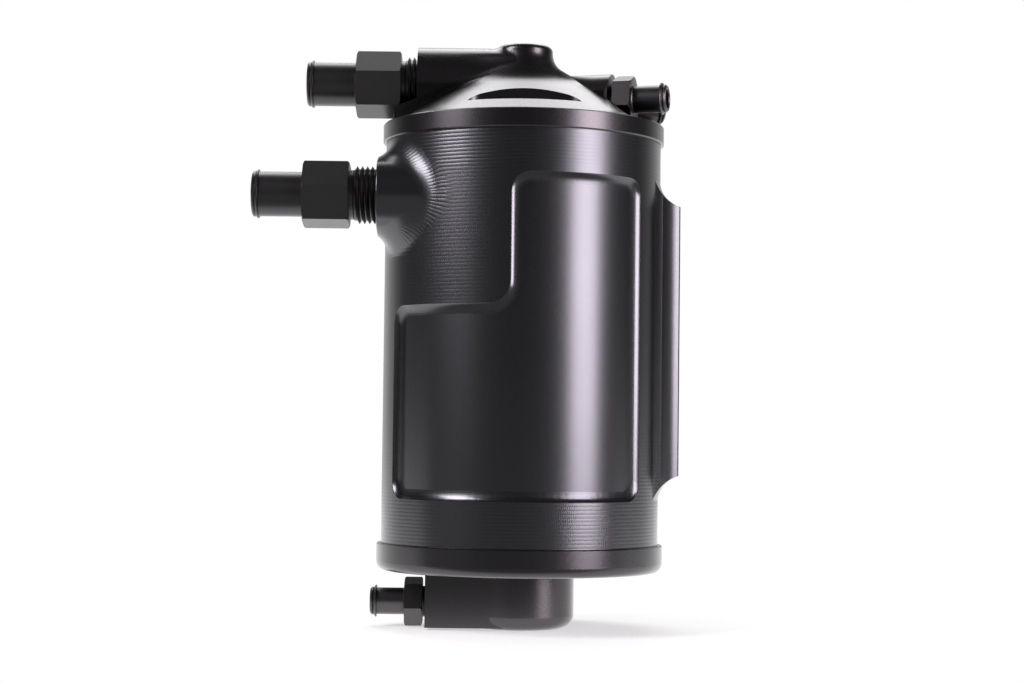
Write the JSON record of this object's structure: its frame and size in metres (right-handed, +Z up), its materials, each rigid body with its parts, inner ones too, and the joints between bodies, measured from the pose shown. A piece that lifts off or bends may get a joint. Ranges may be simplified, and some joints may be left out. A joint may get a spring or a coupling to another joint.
{
  "type": "oil catch can",
  "caption": "Machined black can that separates oil mist from crankcase air, with hose tails, a mounting pad on one side and a drain sump below.",
  "frame": {"origin": "centre of the flat foot under the drain sump, on the can's axis", "axes": "+Z up along the can's axis; +X out of the mounting pad; -X along the breather hose tails; -Y out of the milled front panel"},
  "size_m": [0.1547, 0.1048, 0.2148],
  "materials": {
    "body_anodise": "satin black anodised, fine milling rings",
    "cap_anodise": "satin black anodised, bead blasted",
    "fitting_anodise": "matt black anodised, turned",
    "inner_aluminium": "bare turned",
    "wire_mesh": "knitted wire",
    "inner_steel": "zinc plated",
    "seal_rubber": "smooth"
  },
  "bodies": {
    "root": {"can_body": "body_anodise", "top_cap": "cap_anodise", "drain_base": "cap_anodise", "inlet_fitting": "fitting_anodise", "outlet_fitting": "fitting_anodise", "front_port_fitting": "fitting_anodise", "rear_port_fitting": "fitting_anodise", "drain_fitting": "fitting_anodise", "cap_o_ring": "seal_rubber", "base_o_ring": "seal_rubber", "tube_o_ring": "seal_rubber", "outlet_tube": "inner_aluminium", "upper_baffle": "inner_aluminium", "coarse_mesh": "wire_mesh", "middle_baffle": "inner_aluminium", "fine_mesh": "wire_mesh", "lower_baffle": "inner_aluminium", "baffle_washer": "inner_steel", "baffle_nut": "inner_steel", "splash_plate": "inner_aluminium", "splash_plate_screws": "inner_steel", "sump_strainer": "inner_steel", "strainer_clip": "inner_steel"}
  },
  "joints": []
}
